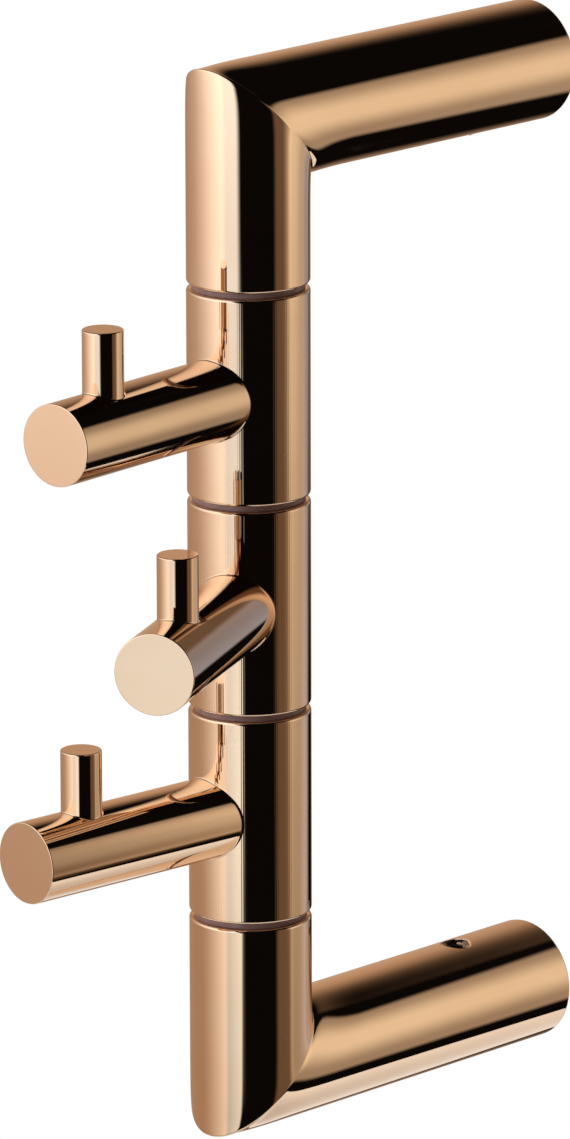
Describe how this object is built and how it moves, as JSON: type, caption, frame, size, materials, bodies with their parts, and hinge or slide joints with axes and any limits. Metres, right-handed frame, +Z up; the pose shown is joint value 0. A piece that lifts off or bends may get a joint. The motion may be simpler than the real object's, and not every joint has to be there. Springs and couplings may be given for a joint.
{
  "type": "towel hook",
  "caption": "Wall-mounted towel rail with swivelling hooks stacked between mitred posts, each a round arm with an upright peg.",
  "frame": {"origin": "on the wall, midway between the two wall fixings", "axes": "+Z up the wall, the rail stands out towards -Y, +X to the right seen from the front"},
  "size_m": [0.0444, 0.1374, 0.214],
  "materials": {
    "rose_gold": "polished rose gold",
    "brass": "turned, bare",
    "steel": "turned, bare",
    "washer": "dark grey, matt",
    "bush": "natural acetal, matt"
  },
  "bodies": {
    "rail": {"upper_elbow": "rose_gold", "lower_elbow": "rose_gold", "upper_anchor": "brass", "lower_anchor": "brass", "upper_wall_boss": "brass", "lower_wall_boss": "brass", "upper_grub_screw": "steel", "lower_grub_screw": "steel", "spindle": "steel", "washer_1": "washer", "washer_2": "washer", "washer_3": "washer", "washer_4": "washer"},
    "upper_hook": {"upper_sleeve": "rose_gold", "upper_arm": "rose_gold", "upper_peg": "rose_gold", "upper_hook_top_bush": "bush", "upper_hook_bottom_bush": "bush"},
    "middle_hook": {"middle_sleeve": "rose_gold", "middle_arm": "rose_gold", "middle_peg": "rose_gold", "middle_hook_top_bush": "bush", "middle_hook_bottom_bush": "bush"},
    "lower_hook": {"lower_sleeve": "rose_gold", "lower_arm": "rose_gold", "lower_peg": "rose_gold", "lower_hook_top_bush": "bush", "lower_hook_bottom_bush": "bush"}
  },
  "joints": [
    {"name": "upper_hook_swivel", "type": "hinge", "parent": "rail", "child": "upper_hook", "pos_m": [0, -0.08, 0.042], "axis": [0, 0, 1], "continuous": true},
    {"name": "middle_hook_swivel", "type": "hinge", "parent": "rail", "child": "middle_hook", "pos_m": [0, -0.08, 0], "axis": [0, 0, 1], "continuous": true},
    {"name": "lower_hook_swivel", "type": "hinge", "parent": "rail", "child": "lower_hook", "pos_m": [0, -0.08, -0.042], "axis": [0, 0, 1], "continuous": true}
  ]
}
